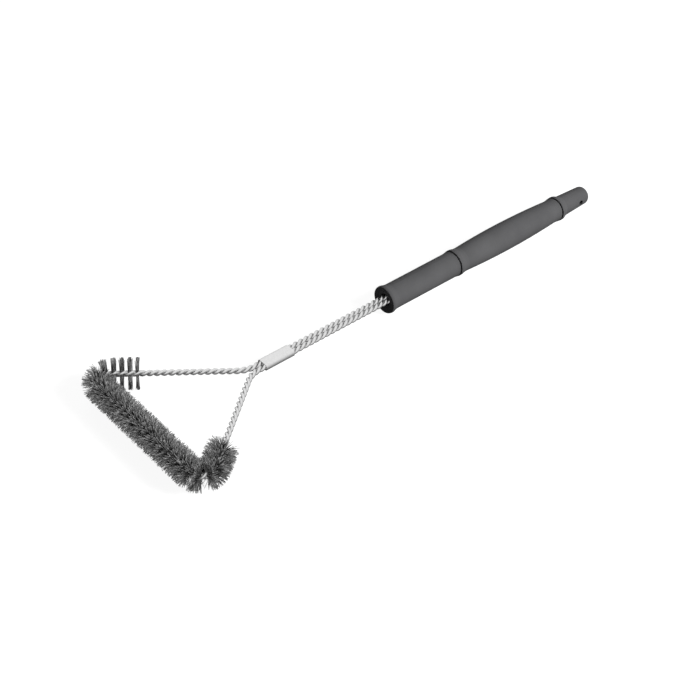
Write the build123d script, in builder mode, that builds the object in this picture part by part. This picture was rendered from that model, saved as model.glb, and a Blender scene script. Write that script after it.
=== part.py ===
from build123d import *
from math import cos, radians, sin, tan
import os

os.makedirs("parts", exist_ok=True)

# Three-sided grill cleaning brush, in millimetres. The brush lies flat: +X runs along the shaft
# from the head to the tail of the handle, +Y runs across the head and +Z is up. The origin is
# the centre of its footprint, and every axis lies in one level plane, one bristle radius up.

# ---------------------------------------------------------------- driving dimensions
total_length = 524.0
bristle_radius = 13.5
head_height = 105.0  # from the far side of the triangle to where the arms' lines meet
arm_angle = 38.0  # between each arm and the shaft

wire_radius = 1.3
lay_bare = 5.8  # half a turn of the twist, where the rope is bare
lay_bristled = 6.45  # half a turn, where the bristles open the twist
wire_gap = 0.12  # between the two wires of a rope
joint_swell = 0.05  # how far the wire swells where a run meets a bend

corner_bend = 10.0  # bend radius of the rope at the head's two corners
junction_bend = 24.0  # bend radius where the ropes part
rope_offset = 2.72  # each rope's axis from the shaft's axis
far_side_turns = 19  # half turns along the far side, between the corner bends
arm_bristled_turns = 4
arm_bare_turns = 13
shaft_turns = 34

ferrule_start = 9.8  # from the junction
ferrule_length = 29.2
ferrule_wall = 0.7
ferrule_chamfer = 0.2
ferrule_play = 0.05  # between it and the ropes

handle_start = 143.0  # from the junction
handle_length = 262.5
flange_radius = 12.85
flange_edge_radius = 12.35
flange_thickness = 4.2
flange_fillet = 0.4
cove_end = 8.6  # where the flange has run down into the neck
cove_rise = 0.3  # its middle above the neck
neck_radius = 11.58
neck_end = 78.5
neck_end_radius = 11.72
first_groove = 82.1
first_lip_radius = 12.15
first_bead_radius = 12.55
waist_dip = 0.22  # how far the waist behind the first bead hangs below a straight line
grip_start = 94.0
grip_start_radius = 11.5
grip_peak = 146.0
grip_radius = 13.12
grip_end = 212.0
grip_end_radius = 11.2
grip_end_slope = 0.06
second_groove = 218.8
second_lip_radius = 11.75
second_bead_radius = 12.08
tail_start = 228.5
tail_start_radius = 10.13
tail_end_radius = 8.7
tail_fillet = 4.0
groove_width = 1.8
groove_depth = 1.15
groove_slope = 0.25  # how far each of its walls leans out
bead_width = 3.2
bead_crown = 0.12
mouth_radius = 6.0
mouth_depth = 14.0
socket_end_play = 1.0  # between the ropes' ends and the bottom of the socket
dish_radius = 11.2
dish_depth = 1.4
hang_hole_radius = 2.6
hang_hole_from_end = 13.5

sleeve_bore = 3.0
sleeve_arm_length = 23.0
sleeve_gap = 0.15

# ---------------------------------------------------------------- places worked out from them
level = bristle_radius
far_side_x = -total_length / 2 + bristle_radius
junction_x = far_side_x + head_height
handle_x = junction_x + handle_start
strand_radius = wire_radius + wire_gap / 2
corner_turn = 90 + arm_angle
corner_tangent = corner_bend * tan(radians(corner_turn / 2))
junction_tangent = junction_bend * tan(radians(arm_angle / 2))
far_side_straight = far_side_turns * lay_bristled
half_width = far_side_straight / 2 + corner_tangent
arm_length = (half_width - rope_offset) / sin(radians(arm_angle))
arm_straight = arm_length - corner_tangent - junction_tangent
arm_bristled = arm_bristled_turns * lay_bristled
arm_bare = arm_straight - arm_bristled
fork_x = far_side_x + arm_length * cos(radians(arm_angle))
shaft_end_x = fork_x + junction_tangent + shaft_turns * lay_bare


def heading(degrees):
    """The unit vector in the level plane at that angle from +X."""
    return Vector(cos(radians(degrees)), sin(radians(degrees)), 0)


# ---------------------------------------------------------------- stem wires
# Two wires are twisted together into one left-handed rope. It comes out of the handle, bends
# into the left arm, the far side and the right arm, and goes back into the handle beside
# itself. Each run is a true helix, and the wires go round each bend one above the other.
# A run is (length, half turns) and a bend is (radius, turn to the left in degrees).
arm_runs = [
    ("run", arm_bare, arm_bare_turns),
    ("run", arm_bristled, arm_bristled_turns),
]
rope_route = [
    ("run", shaft_turns * lay_bare, shaft_turns),
    ("bend", junction_bend, -arm_angle),
    *arm_runs,
    ("bend", corner_bend, corner_turn),
    ("run", far_side_straight, far_side_turns),
    ("bend", corner_bend, corner_turn),
    *reversed(arm_runs),
    ("bend", junction_bend, -arm_angle),
    ("run", shaft_turns * lay_bare, shaft_turns),
]


def twisted_wire(side):
    """One of the rope's wires. It starts above the rope's axis if side is 1, below it if -1."""
    place = Vector(shaft_end_x, rope_offset, level)
    course = 180.0
    with BuildPart() as wire:
        for kind, size, amount in rope_route:
            ahead = heading(course)
            if kind == "run":
                lay = size / amount
                # the first and last half turns are swept apart, so that joints cut only short faces
                for turns in (1, amount - 2, 1):
                    advance = turns * lay
                    helix = Helix(2 * lay, advance, strand_radius, lefthand=True, mode=Mode.PRIVATE)
                    frame = Plane(origin=place, x_dir=(0, 0, side), z_dir=ahead)
                    path = frame.location * helix
                    with BuildSketch(Plane(origin=path @ 0, z_dir=path % 0)):
                        Circle(wire_radius)
                    sweep(path=path, is_frenet=True)
                    place = place + ahead * advance
                    if turns % 2:
                        side = -side
            else:
                left = heading(course + 90)
                turn = 1 if amount > 0 else -1
                centre = place + left * (turn * size)
                start = place + Vector(0, 0, side * strand_radius)
                with BuildSketch(Plane(origin=start, z_dir=ahead)):
                    Circle(wire_radius)
                revolve(axis=Axis(centre, (0, 0, turn)), revolution_arc=abs(amount))
                course = course + amount
                place = centre - heading(course + 90) * (turn * size)
            joint = place + Vector(0, 0, side * strand_radius)
            if place.X < shaft_end_x - lay_bare:
                with Locations(Plane(origin=joint, z_dir=heading(course))):
                    Sphere(wire_radius + joint_swell)
    return wire


stem_wire_a = twisted_wire(1)
stem_wire_a.part.label = "stem_wire_a"
export_step(stem_wire_a.part, "parts/stem_wire_a.step")

stem_wire_b = twisted_wire(-1)
stem_wire_b.part.label = "stem_wire_b"
export_step(stem_wire_b.part, "parts/stem_wire_b.step")

# ---------------------------------------------------------------- ferrule
# A flat oval sleeve, crimped round both ropes just behind the fork.
rope_radius = 2 * wire_radius + wire_gap / 2
ferrule_bore = rope_radius + ferrule_play
with BuildPart() as ferrule:
    with BuildSketch(Plane.YZ.offset(junction_x + ferrule_start)):
        with Locations((0, level)):
            SlotCenterToCenter(2 * rope_offset, 2 * (ferrule_bore + ferrule_wall))
            SlotCenterToCenter(2 * rope_offset, 2 * ferrule_bore, mode=Mode.SUBTRACT)
    extrude(amount=ferrule_length)
    rims = ferrule.faces().filter_by(Axis.X).edges()
    chamfer(rims, ferrule_chamfer)
ferrule.part.label = "ferrule"
export_step(ferrule.part, "parts/ferrule.step")

# ---------------------------------------------------------------- handle
# One moulding, turned about the shaft's axis: a lipped flange, a straight neck, a groove with a
# bead behind it, a grip that swells in one long curve, a second groove and bead, and a tapering
# tail. Places along it are measured from its front face.
half_section = Plane(origin=(handle_x, 0, level), x_dir=(1, 0, 0), z_dir=(0, -1, 0))
shaft_axis = Axis((handle_x, 0, level), (1, 0, 0))


def groove_and_bead(before, groove, lip_radius, bead_radius):
    """Continues the outline up to a lip, down into a groove and over the bead behind it."""
    floor_radius = lip_radius - groove_depth
    shoulder_radius = bead_radius - bead_crown
    bead_start = groove + groove_width
    rise = TangentArc(before @ 1, (groove, lip_radius), tangent=before % 1)
    groove_sides = Polyline(
        rise @ 1,
        (groove + groove_slope, floor_radius),
        (bead_start - groove_slope, floor_radius),
        (bead_start, shoulder_radius),
    )
    top = (bead_start + bead_width / 2, bead_radius)
    return ThreePointArc(groove_sides @ 1, top, (bead_start + bead_width, shoulder_radius))


with BuildPart() as handle:
    with BuildSketch(half_section):
        with BuildLine():
            face = Line((0, 0), (0, flange_edge_radius))
            crest = (flange_thickness / 2, flange_radius)
            flange = ThreePointArc(face @ 1, crest, (flange_thickness, flange_edge_radius))
            cove_middle = ((flange_thickness + cove_end) / 2, neck_radius + cove_rise)
            cove = ThreePointArc(flange @ 1, cove_middle, (cove_end, neck_radius))
            neck = Line(cove @ 1, (neck_end, neck_end_radius))
            bead = groove_and_bead(neck, first_groove, first_lip_radius, first_bead_radius)
            hollow = (bead @ 1 + Vector(grip_start, grip_start_radius)) / 2 - Vector(0, waist_dip)
            waist = ThreePointArc(bead @ 1, hollow, (grip_start, grip_start_radius))
            grip = Spline(
                waist @ 1,
                (grip_peak, grip_radius),
                (grip_end, grip_end_radius),
                tangents=((1, grip_end_slope), (1, -grip_end_slope)),
            )
            bead = groove_and_bead(grip, second_groove, second_lip_radius, second_bead_radius)
            Polyline(
                bead @ 1,
                (tail_start, tail_start_radius),
                (handle_length, tail_end_radius),
                (handle_length, 0),
                (0, 0),
            )
        make_face()
    revolve(axis=shaft_axis)
    rings = handle.edges().filter_by(GeomType.CIRCLE).sort_by(Axis.X)
    fillet(rings[-1], tail_fillet)
    fillet(rings[:2], flange_fillet)
    # the dished face, the round mouth and the flat socket that grips both ropes
    with BuildSketch(half_section):
        with BuildLine():
            Polyline(
                (0, 0),
                (0, dish_radius),
                (dish_depth, mouth_radius),
                (mouth_depth, mouth_radius),
                (mouth_depth, 0),
                close=True,
            )
        make_face()
    revolve(axis=shaft_axis, mode=Mode.SUBTRACT)
    with BuildSketch(Plane.YZ.offset(handle_x + mouth_depth)):
        with Locations((0, level)):
            SlotCenterToCenter(2 * rope_offset, 2 * ferrule_bore)
    socket_depth = shaft_end_x + socket_end_play - handle_x - mouth_depth
    extrude(amount=socket_depth, mode=Mode.SUBTRACT)
    # the hanging hole, straight across the tail
    hang_hole_x = handle_x + handle_length - hang_hole_from_end
    with BuildSketch(Plane(origin=(hang_hole_x, 0, level), z_dir=(0, 1, 0))):
        Circle(hang_hole_radius)
    extrude(amount=flange_radius, both=True, mode=Mode.SUBTRACT)
handle.part.label = "handle"
export_step(handle.part, "parts/handle.step")

# ---------------------------------------------------------------- bristles
# Each side's bristles are held as one plain sleeve of their outer size, round the rope. The
# sleeves go round the two corners and meet on the plane that halves each corner.
corner_x = far_side_x + corner_bend
corner_y = far_side_straight / 2
halving_angle = (90 - arm_angle) / 2


def halving_plane(side, shift):
    """The upright plane that halves one corner, facing the arm, moved that far towards it."""
    facing = heading(side * halving_angle)
    return Plane(origin=Vector(corner_x, side * corner_y, level) + facing * shift, z_dir=facing)


with BuildPart() as bristles_front:
    with BuildSketch(Plane(origin=(far_side_x, 0, level), z_dir=(0, 1, 0))):
        Circle(bristle_radius)
        Circle(sleeve_bore, mode=Mode.SUBTRACT)
    extrude(amount=corner_y, both=True)
    for side in (1, -1):
        ring_place = Vector(far_side_x, side * corner_y, level)
        with BuildSketch(Plane(origin=ring_place, x_dir=(1, 0, 0), z_dir=(0, side, 0))):
            Circle(bristle_radius)
            Circle(sleeve_bore, mode=Mode.SUBTRACT)
            with Locations((corner_bend + bristle_radius, 0)):
                Rectangle(2 * bristle_radius, 2 * bristle_radius, mode=Mode.SUBTRACT)
        bend_axis = Axis((corner_x, side * corner_y, level), (0, 0, -side))
        revolve(axis=bend_axis, revolution_arc=corner_turn / 2)
        split(bisect_by=halving_plane(side, -sleeve_gap), keep=Keep.BOTTOM)
bristles_front.part.label = "bristles_front"
export_step(bristles_front.part, "parts/bristles_front.step")


def arm_bristles(side):
    """The sleeve on one arm: side is 1 for the left arm and -1 for the right."""
    bend_centre = Vector(corner_x, side * corner_y, level)
    outward = heading(side * (90 - arm_angle))
    ahead = heading(-side * arm_angle)
    ring_place = bend_centre + outward * corner_bend
    with BuildPart() as sleeve:
        with BuildSketch(Plane(origin=ring_place, x_dir=-outward, z_dir=ahead)):
            Circle(bristle_radius)
            Circle(sleeve_bore, mode=Mode.SUBTRACT)
        extrude(amount=sleeve_arm_length)
        with BuildSketch(Plane(origin=ring_place, x_dir=-outward, z_dir=ahead)):
            Circle(bristle_radius)
            Circle(sleeve_bore, mode=Mode.SUBTRACT)
            with Locations((corner_bend + bristle_radius, 0)):
                Rectangle(2 * bristle_radius, 2 * bristle_radius, mode=Mode.SUBTRACT)
        revolve(axis=Axis(bend_centre, (0, 0, side)), revolution_arc=corner_turn / 2)
        split(bisect_by=halving_plane(side, sleeve_gap), keep=Keep.TOP)
    return sleeve


bristles_left = arm_bristles(1)
bristles_left.part.label = "bristles_left"
export_step(bristles_left.part, "parts/bristles_left.step")

bristles_right = arm_bristles(-1)
bristles_right.part.label = "bristles_right"
export_step(bristles_right.part, "parts/bristles_right.step")
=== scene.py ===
import math

import bpy
import numpy as np
from mathutils import Matrix, Vector


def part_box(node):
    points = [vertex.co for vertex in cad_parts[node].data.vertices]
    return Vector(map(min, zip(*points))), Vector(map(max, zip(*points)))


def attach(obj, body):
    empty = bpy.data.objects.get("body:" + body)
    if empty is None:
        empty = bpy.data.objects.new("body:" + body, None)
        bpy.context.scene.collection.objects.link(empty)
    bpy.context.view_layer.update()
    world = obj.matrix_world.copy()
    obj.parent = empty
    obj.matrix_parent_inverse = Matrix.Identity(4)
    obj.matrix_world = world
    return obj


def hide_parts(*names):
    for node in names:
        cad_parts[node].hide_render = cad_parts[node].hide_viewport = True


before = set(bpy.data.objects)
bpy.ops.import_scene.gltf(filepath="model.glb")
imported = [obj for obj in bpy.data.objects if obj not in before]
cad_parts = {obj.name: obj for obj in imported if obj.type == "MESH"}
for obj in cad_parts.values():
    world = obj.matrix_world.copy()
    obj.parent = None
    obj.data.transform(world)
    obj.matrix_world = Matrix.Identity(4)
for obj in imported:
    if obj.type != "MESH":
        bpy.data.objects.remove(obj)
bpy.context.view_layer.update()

# Three-sided grill cleaning brush. Metres, in the CAD model's frame: +X runs along the shaft from
# the head to the handle's tail, +Y across the head, +Z up, and the floor is at Z = 0.

# ---------------------------------------------------------------- sizes
ARM_ANGLE = math.radians(38)
WIRE_RADIUS = 0.0013
STRAND_RADIUS = 0.00136  # each wire's centre from the rope's axis
ROPE_OFFSET = 0.00272  # each rope's axis from the shaft's axis
LAY_BARE = 0.0058  # half a turn of the twist
LAY_BRISTLED = 0.00645
CORNER_BEND = 0.010
JUNCTION_BEND = 0.024
FAR_SIDE_STRAIGHT = 19 * LAY_BRISTLED
ARM_BRISTLED = 4 * LAY_BRISTLED
SHAFT_HALF_TURNS = 34
ARM_SLEEVE = 0.022  # how far the bristles run up each arm from its corner bend
TWIST_AT_LEFT_CORNER = math.radians(94.7)

# ---------------------------------------------------------------- how the bristles lie
BRISTLE_THICKNESS = 0.00038
BRISTLE_SPACING = 0.000042
TUFT_ANGLE = math.radians(50)  # where round the rope the middle of each tuft points
TUFT_PULL = [0.40, 0.06, 0.0]  # how far tufts are drawn together: left arm, its corner, far side
TUFT_FAN = 2.0  # how much more the tufts are drawn together round the rope than along it
TUFT_LEAN = 0.45  # how far the outer bristles of a tuft lean to its middle
TUFT_CALM = 1.8  # how much straighter the bristles of a tuft are
TUFT_FAN_CALM = 1.3
PLACE_JITTER = 0.8  # in spacings
ANGLE_SPREAD = math.radians(20)
TILT_SPREAD = 0.13
BOW_SPREAD = 0.10
SWING_SPREAD = 0.10
SHORTEST = 0.24  # how much shorter the shortest bristles are, and how much more in a tuft
SHORTEST_IN_TUFT = 0.3
SHORT_RARITY = 1.3
PARTING_EDGE = 1.4  # how far past a parting's edge its bristles may be moved, in half widths
PARTING_REACH = 2.5

# ---------------------------------------------------------------- places, from the CAD model
front_low, front_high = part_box("bristles_front")
LEVEL = (front_low.z + front_high.z) / 2
BRISTLE_RADIUS = (front_high.z - front_low.z) / 2
FAR_SIDE_X = front_low.x + BRISTLE_RADIUS
CORNER_TURN = math.pi / 2 + ARM_ANGLE
CORNER_TANGENT = CORNER_BEND * math.tan(CORNER_TURN / 2)
JUNCTION_TANGENT = JUNCTION_BEND * math.tan(ARM_ANGLE / 2)
HALF_WIDTH = FAR_SIDE_STRAIGHT / 2 + CORNER_TANGENT
ARM_LENGTH = (HALF_WIDTH - ROPE_OFFSET) / math.sin(ARM_ANGLE)
ARM_BARE = ARM_LENGTH - CORNER_TANGENT - JUNCTION_TANGENT - ARM_BRISTLED
SHAFT_LENGTH = SHAFT_HALF_TURNS * LAY_BARE
SHAFT_END_X = FAR_SIDE_X + ARM_LENGTH * math.cos(ARM_ANGLE) + JUNCTION_TANGENT + SHAFT_LENGTH


# ---------------------------------------------------------------- the rope's course
class Rope:
    """The rope's centre line, from the left end in the handle round the head to the right end."""

    STEP = 0.0002

    def __init__(self):
        arm = [(ARM_BARE, 0, LAY_BARE), (ARM_BRISTLED, 0, LAY_BRISTLED)]
        corner = (CORNER_BEND * CORNER_TURN, CORNER_TURN, LAY_BRISTLED)
        fork = (JUNCTION_BEND * ARM_ANGLE, -ARM_ANGLE, LAY_BARE)
        shaft = (SHAFT_LENGTH, 0, LAY_BARE)
        stretches = [
            shaft,
            fork,
            *arm,
            corner,
            (FAR_SIDE_STRAIGHT, 0, LAY_BRISTLED),
            corner,
            *reversed(arm),
            fork,
            shaft,
        ]
        lengths, turns, lays = (np.array(column, float) for column in zip(*stretches))
        self.marks = np.concatenate([[0], np.cumsum(lengths)])
        heading_marks = math.pi + np.concatenate([[0], np.cumsum(turns)])
        count = int(self.marks[-1] / self.STEP)
        self.along = np.linspace(0, self.marks[-1], count + 1)
        self.heading = np.interp(self.along, self.marks, heading_marks)
        step = self.marks[-1] / count
        middle = self.along[:-1] + step / 2
        middle_heading = np.interp(middle, self.marks, heading_marks)
        self.x = SHAFT_END_X + np.concatenate([[0], np.cumsum(np.cos(middle_heading) * step)])
        self.y = ROPE_OFFSET + np.concatenate([[0], np.cumsum(np.sin(middle_heading) * step)])
        lay = lays[np.clip(np.searchsorted(self.marks, middle) - 1, 0, len(lays) - 1)]
        self.twist = np.concatenate([[0], np.cumsum(math.pi / lay * step)])
        self.twist += TWIST_AT_LEFT_CORNER - np.interp(self.marks[4], self.along, self.twist)

    def centre(self, s):
        x = np.interp(s, self.along, self.x)
        y = np.interp(s, self.along, self.y)
        return np.stack([x, y, np.full_like(x, LEVEL)], 1)

    def axes(self, s):
        """Ahead, to the right and up, at each place."""
        h = np.interp(s, self.along, self.heading)
        zero = np.zeros_like(h)
        ahead = np.stack([np.cos(h), np.sin(h), zero], 1)
        right = np.stack([np.sin(h), -np.cos(h), zero], 1)
        up = np.stack([zero, zero, zero + 1], 1)
        return ahead, right, up

    def angle(self, s):
        return np.interp(s, self.along, self.twist)


rope = Rope()
LEFT_CORNER, FAR_SIDE_START, FAR_SIDE_END, RIGHT_CORNER_END = rope.marks[4:8]
BRISTLES_START = LEFT_CORNER - ARM_SLEEVE
BRISTLES_END = RIGHT_CORNER_END + ARM_SLEEVE
# where the bristles part round the outside of a corner: place, half width, and how far they lean
PARTINGS = [
    (FAR_SIDE_END + 0.50 * (RIGHT_CORNER_END - FAR_SIDE_END), 0.0019, 0.30),
    (LEFT_CORNER + 0.45 * (FAR_SIDE_START - LEFT_CORNER), 0.0007, 0.12),
]


# ---------------------------------------------------------------- meshes
def new_piece(name, points, faces, material, replaced):
    mesh = bpy.data.meshes.new(name)
    mesh.from_pydata(np.asarray(points).tolist(), [], faces)
    mesh.validate()
    mesh.materials.append(material)
    mesh.polygons.foreach_set("use_smooth", [True] * len(mesh.polygons))
    mesh.update()
    piece = bpy.data.objects.new(name, mesh)
    bpy.context.scene.collection.objects.link(piece)
    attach(piece, "root")
    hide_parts(replaced)


def normalised(v):
    return v / np.linalg.norm(v, axis=-1, keepdims=True)


def wire_mesh(side, sides=12, step=0.00045):
    """One of the rope's two wires as a closed tube."""
    count = int(rope.marks[-1] / step)
    s = np.linspace(0, rope.marks[-1], count + 1)
    _, right, up = rope.axes(s)
    angle = rope.angle(s)[:, None]
    out = side * (np.cos(angle) * up - np.sin(angle) * right)
    path = rope.centre(s) + STRAND_RADIUS * out
    tangent = normalised(np.gradient(path, axis=0))
    out = normalised(out - (out * tangent).sum(1, keepdims=True) * tangent)
    across = np.cross(tangent, out)
    ring = np.linspace(0, 2 * math.pi, sides, endpoint=False)
    points = (
        path[:, None, :]
        + WIRE_RADIUS * np.cos(ring)[None, :, None] * out[:, None, :]
        + WIRE_RADIUS * np.sin(ring)[None, :, None] * across[:, None, :]
    ).reshape(-1, 3)
    faces = []
    for i in range(count):
        for k in range(sides):
            a, b = i * sides + k, i * sides + (k + 1) % sides
            faces.append((a, b, b + sides, a + sides))
    faces.append(tuple(range(sides))[::-1])
    faces.append(tuple(count * sides + k for k in range(sides)))
    return points, faces


def gathered(s):
    """Draws each half turn's bristles into a tuft: place, angle, lean, and how far it is drawn."""
    corner = FAR_SIDE_START - LEFT_CORNER
    places = [LEFT_CORNER, LEFT_CORNER + 0.4 * corner, FAR_SIDE_START]
    pull = np.interp(s, places, TUFT_PULL)
    angle = rope.angle(s)
    off = ((angle - TUFT_ANGLE) / math.pi + 0.5) % 1 - 0.5
    angle = angle - TUFT_FAN * pull * off * math.pi
    return s - pull * off * LAY_BRISTLED, angle, -TUFT_LEAN * pull * off, pull


def parted(s, rng):
    """Moves bristles out of the partings; also says how far each then leans along the rope."""
    lean = np.zeros_like(s)
    for place, half_width, push in PARTINGS:
        off = (s - place) / half_width
        inside = np.abs(off) < 1
        side = np.sign(off)
        moved = place + side * half_width * rng.uniform(1.0, PARTING_EDGE, len(s))
        s = np.where(inside, moved, s)
        lean += side * push * np.exp(-((s - place) / (PARTING_REACH * half_width)) ** 2)
    return s, lean


def bristle_mesh(start, end, rng, sides=3, stations=5):
    """Closed steel bristles, each gripped at its middle between the two wires."""
    count = int((end - start) / BRISTLE_SPACING)
    jitter = rng.uniform(-PLACE_JITTER, PLACE_JITTER, count)
    s = start + (np.arange(count) + jitter) * (end - start) / count
    s = np.clip(s, start, end)
    s, angle, lean, pull = gathered(s)
    s, parting_lean = parted(s, rng)
    ahead, right, up = rope.axes(s)
    angle = (angle + rng.normal(0, ANGLE_SPREAD, count) * (1 - TUFT_FAN_CALM * pull))[:, None]
    along = np.sin(angle) * up + np.cos(angle) * right
    over = np.cross(ahead, along)
    calm = 1 - TUFT_CALM * pull[:, None]
    shorter = SHORTEST + SHORTEST_IN_TUFT * pull[:, None]
    reach = BRISTLE_RADIUS * (1 - shorter * rng.random((count, 2)) ** SHORT_RARITY)
    tilt = rng.normal(0, TILT_SPREAD, (count, 2)) * calm + (lean + parting_lean)[:, None]
    bow = rng.normal(0, BOW_SPREAD, (count, 2)) * calm
    swing = rng.normal(0, SWING_SPREAD, (count, 2)) * calm
    t = np.linspace(-1, 1, stations)
    half = (t > 0).astype(int)
    forward = (tilt[:, half] + bow[:, half] * np.abs(t))[:, :, None]
    sideways = swing[:, half][:, :, None]
    outward = np.sign(t)[None, :, None] * along[:, None]
    way = outward + forward * ahead[:, None] + sideways * over[:, None]
    way = normalised(way + 1e-9)
    path = rope.centre(s)[:, None] + way * (np.abs(t) * reach[:, half])[:, :, None]
    tangent = normalised(np.gradient(path, axis=1))
    side_a = normalised(np.cross(tangent, ahead[:, None]))
    side_b = np.cross(tangent, side_a)
    ring = np.linspace(0, 2 * math.pi, sides, endpoint=False)[:, None]
    rim = np.cos(ring) * side_a[:, :, None] + np.sin(ring) * side_b[:, :, None]
    points = (path[:, :, None] + BRISTLE_THICKNESS / 2 * rim).reshape(-1, 3)

    first = (np.arange(count) * stations * sides)[:, None, None]
    row = (np.arange(stations - 1) * sides)[None, :, None]
    corner = np.arange(sides)[None, None, :]
    a = (first + row + corner).reshape(-1)
    b = (first + row + (corner + 1) % sides).reshape(-1)
    faces = np.stack([a, b, b + sides, a + sides], 1).tolist()
    cap = np.arange(sides)[None, :]
    faces += (first[:, :, 0] + cap[:, ::-1]).tolist()
    faces += (first[:, :, 0] + (stations - 1) * sides + cap).tolist()
    return points, faces


# ---------------------------------------------------------------- materials
def new_material(name):
    material = bpy.data.materials.new(name)
    material.use_nodes = True
    nodes = material.node_tree.nodes
    links = material.node_tree.links
    return material, nodes, links, nodes["Principled BSDF"]


def noise_node(nodes, links, coordinates, scale, detail=4.0, roughness=0.55):
    noise = nodes.new("ShaderNodeTexNoise")
    noise.inputs["Scale"].default_value = scale
    noise.inputs["Detail"].default_value = detail
    noise.inputs["Roughness"].default_value = roughness
    links.new(coordinates, noise.inputs["Vector"])
    return noise.outputs["Fac"]


def grey(value, blue=0.0):
    return (value, value, value + blue, 1)


def ramp_node(nodes, links, factor, stops):
    ramp = nodes.new("ShaderNodeValToRGB")
    elements = ramp.color_ramp.elements
    while len(elements) < len(stops):
        elements.new(0.5)
    for element, (place, colour) in zip(elements, stops):
        element.position = place
        element.color = colour
    links.new(factor, ramp.inputs["Fac"])
    return ramp.outputs["Color"]


def map_range(nodes, links, value, low, high):
    node = nodes.new("ShaderNodeMapRange")
    node.inputs["To Min"].default_value = low
    node.inputs["To Max"].default_value = high
    links.new(value, node.inputs["Value"])
    return node.outputs["Result"]


def bump_node(nodes, links, height, strength, distance):
    bump = nodes.new("ShaderNodeBump")
    bump.inputs["Strength"].default_value = strength
    bump.inputs["Distance"].default_value = distance
    links.new(height, bump.inputs["Height"])
    return bump.outputs["Normal"]


def plastic_material():
    material, nodes, links, shader = new_material("handle_plastic")
    place = nodes.new("ShaderNodeTexCoord").outputs["Object"]
    broad = noise_node(nodes, links, place, 28, 3)
    grain = noise_node(nodes, links, place, 1500, 5, 0.65)
    colour = ramp_node(nodes, links, broad, [(0.3, grey(0.060, 0.002)), (0.7, grey(0.074, 0.002))])
    links.new(colour, shader.inputs["Base Color"])
    links.new(map_range(nodes, links, grain, 0.62, 0.78), shader.inputs["Roughness"])
    links.new(bump_node(nodes, links, grain, 0.25, 0.0002), shader.inputs["Normal"])
    shader.inputs["Specular IOR Level"].default_value = 0.06
    return material


def steel_material(name, low, high, rough_low, rough_high, fine):
    material, nodes, links, shader = new_material(name)
    place = nodes.new("ShaderNodeTexCoord").outputs["Object"]
    grain = noise_node(nodes, links, place, fine, 4, 0.6)
    broad = noise_node(nodes, links, place, 90, 3)
    colour = ramp_node(nodes, links, grain, [(0.3, grey(low)), (0.7, grey(high))])
    links.new(colour, shader.inputs["Base Color"])
    shader.inputs["Metallic"].default_value = 1.0
    links.new(map_range(nodes, links, broad, rough_low, rough_high), shader.inputs["Roughness"])
    links.new(bump_node(nodes, links, grain, 0.15, 0.0001), shader.inputs["Normal"])
    return material


def bristle_material():
    """Dull wire, a little lighter or darker from bristle to bristle."""
    material, nodes, links, shader = new_material("bristle_steel")
    place = nodes.new("ShaderNodeTexCoord").outputs["Object"]
    own = nodes.new("ShaderNodeNewGeometry").outputs["Random Per Island"]
    grain = noise_node(nodes, links, place, 1800, 3, 0.6)
    colour = ramp_node(nodes, links, own, [(0.0, grey(0.15)), (0.6, grey(0.32)), (1.0, grey(0.70))])
    links.new(colour, shader.inputs["Base Color"])
    shader.inputs["Metallic"].default_value = 1.0
    links.new(map_range(nodes, links, own, 0.52, 0.30), shader.inputs["Roughness"])
    links.new(bump_node(nodes, links, grain, 0.15, 0.00005), shader.inputs["Normal"])
    return material


# ---------------------------------------------------------------- the pieces
plastic = plastic_material()
stem_steel = steel_material("stem_steel", 0.72, 0.84, 0.30, 0.42, 900)
bristle_steel = bristle_material()
ferrule_steel = steel_material("ferrule_steel", 0.78, 0.86, 0.40, 0.52, 700)

for node, material, slot in (
    ("handle", plastic, "handle_plastic"),
    ("ferrule", ferrule_steel, "ferrule_steel"),
):
    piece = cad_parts[node]
    piece.data.materials.clear()
    piece.data.materials.append(material)

for name, side in (("stem_wire_a", 1), ("stem_wire_b", -1)):
    points, faces = wire_mesh(side)
    new_piece(name + "_twisted", points, faces, stem_steel, name)

rng = np.random.default_rng(11)
LEFT_HALF = (LEFT_CORNER + FAR_SIDE_START) / 2
RIGHT_HALF = (FAR_SIDE_END + RIGHT_CORNER_END) / 2
for name, start, end in (
    ("bristles_left", BRISTLES_START, LEFT_HALF),
    ("bristles_front", LEFT_HALF, RIGHT_HALF),
    ("bristles_right", RIGHT_HALF, BRISTLES_END),
):
    points, faces = bristle_mesh(start, end, rng)
    new_piece(name + "_wires", points, faces, bristle_steel, name)

# ---------------------------------------------------------------- floor, light and camera
FLOOR_SIZE = 12.0
FLOOR_DROP = -0.0002  # keeps it clear of the faces that rest on it
FLOOR_GLOW = 0.92
TENT_ABOVE = 0.95
TENT_BELOW = 0.12
TENT_FILL = 0.07
floor_mesh = bpy.data.meshes.new("floor")
half = FLOOR_SIZE / 2
floor_mesh.from_pydata(
    [(-half, -half, 0), (half, -half, 0), (half, half, 0), (-half, half, 0)], [], [(0, 1, 2, 3)]
)
floor = bpy.data.objects.new("floor", floor_mesh)
bpy.context.scene.collection.objects.link(floor)
floor.location.z = FLOOR_DROP
material, nodes, links, shader = new_material("floor_pale")
shader.inputs["Base Color"].default_value = (0.20, 0.20, 0.20, 1)
shader.inputs["Roughness"].default_value = 0.9
shader.inputs["Specular IOR Level"].default_value = 0.1
shader.inputs["Emission Color"].default_value = (1, 1, 1, 1)
shader.inputs["Emission Strength"].default_value = FLOOR_GLOW
floor_mesh.materials.append(material)
floor.visible_diffuse = False
floor.visible_glossy = False

world = bpy.data.worlds.new("studio")
world.use_nodes = True
bpy.context.scene.world = world
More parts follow.
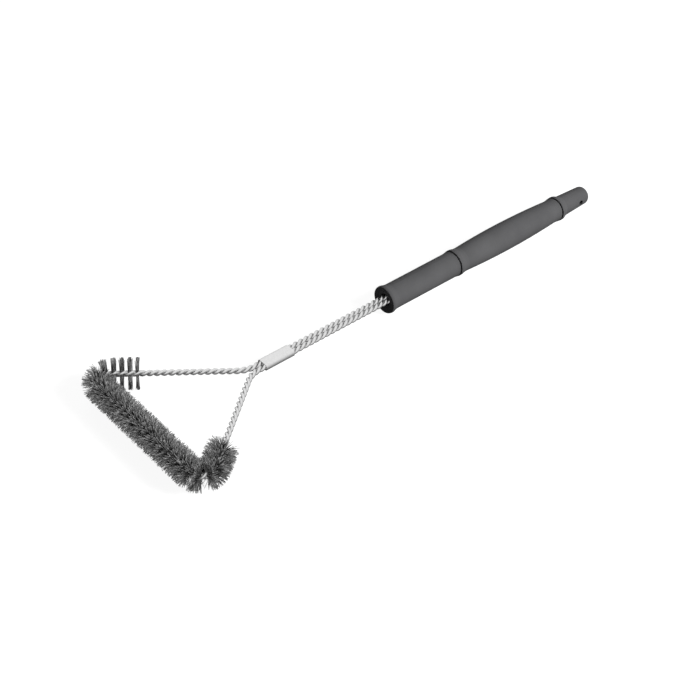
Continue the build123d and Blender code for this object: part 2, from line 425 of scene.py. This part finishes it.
# a white tent over a dim floor in what surfaces mirror, and a faint even fill in diffuse light
background = world.node_tree.nodes["Background"]
background.inputs["Color"].default_value = (1, 1, 1, 1)
world_nodes = world.node_tree.nodes
world_links = world.node_tree.links
direction = world_nodes.new("ShaderNodeTexCoord").outputs["Generated"]
upward = world_nodes.new("ShaderNodeSeparateXYZ")
world_links.new(direction, upward.inputs["Vector"])
height = world_nodes.new("ShaderNodeMapRange")
height.inputs["From Min"].default_value = -0.7
height.inputs["From Max"].default_value = 0.5
height.inputs["To Min"].default_value = TENT_BELOW
height.inputs["To Max"].default_value = TENT_ABOVE
world_links.new(upward.outputs["Z"], height.inputs["Value"])
rays = world_nodes.new("ShaderNodeLightPath").outputs
strength = height.outputs["Result"]
for ray, value in (("Is Diffuse Ray", TENT_FILL), ("Is Camera Ray", FLOOR_GLOW)):
    switch = world_nodes.new("ShaderNodeMapRange")
    world_links.new(rays[ray], switch.inputs["Value"])
    world_links.new(strength, switch.inputs["To Min"])
    switch.inputs["To Max"].default_value = value
    strength = switch.outputs["Result"]
world_links.new(strength, background.inputs["Strength"])


def softbox(name, place, aim, size, power):
    lamp = bpy.data.lights.new(name, "AREA")
    lamp.shape = "SQUARE"
    lamp.size = size
    lamp.energy = power
    lamp_object = bpy.data.objects.new(name, lamp)
    lamp_object.location = place
    lamp_object.visible_glossy = False
    lamp_object.rotation_euler = (Vector(aim) - Vector(place)).to_track_quat("-Z", "Y").to_euler()
    bpy.context.scene.collection.objects.link(lamp_object)


softbox("softbox_key", (0.75, -1.35, 0.95), (0, 0, 0), 0.7, 66)
softbox("softbox_back", (0.5, 1.4, 0.8), (0, 0, 0), 0.9, 6)

CAMERA_PLACE = Vector((-0.585, -0.6086, 0.6676))
CAMERA_AHEAD = Vector((0.5107, 0.5689, -0.6446)).normalized()
CAMERA_RIGHT = Vector((0.7528, -0.6581, 0.0157))
camera = bpy.data.cameras.new("camera")
camera.lens = 63.36
camera.sensor_width = 36.0
camera.clip_start = 0.01
camera.clip_end = 50
camera_object = bpy.data.objects.new("camera", camera)
right = (CAMERA_RIGHT - CAMERA_RIGHT.dot(CAMERA_AHEAD) * CAMERA_AHEAD).normalized()
up = right.cross(CAMERA_AHEAD)
turn = Matrix((right, up, -CAMERA_AHEAD)).transposed()
camera_object.matrix_world = Matrix.Translation(CAMERA_PLACE) @ turn.to_4x4()
bpy.context.scene.collection.objects.link(camera_object)
bpy.context.scene.camera = camera_object
bpy.context.scene.view_settings.view_transform = "Standard"
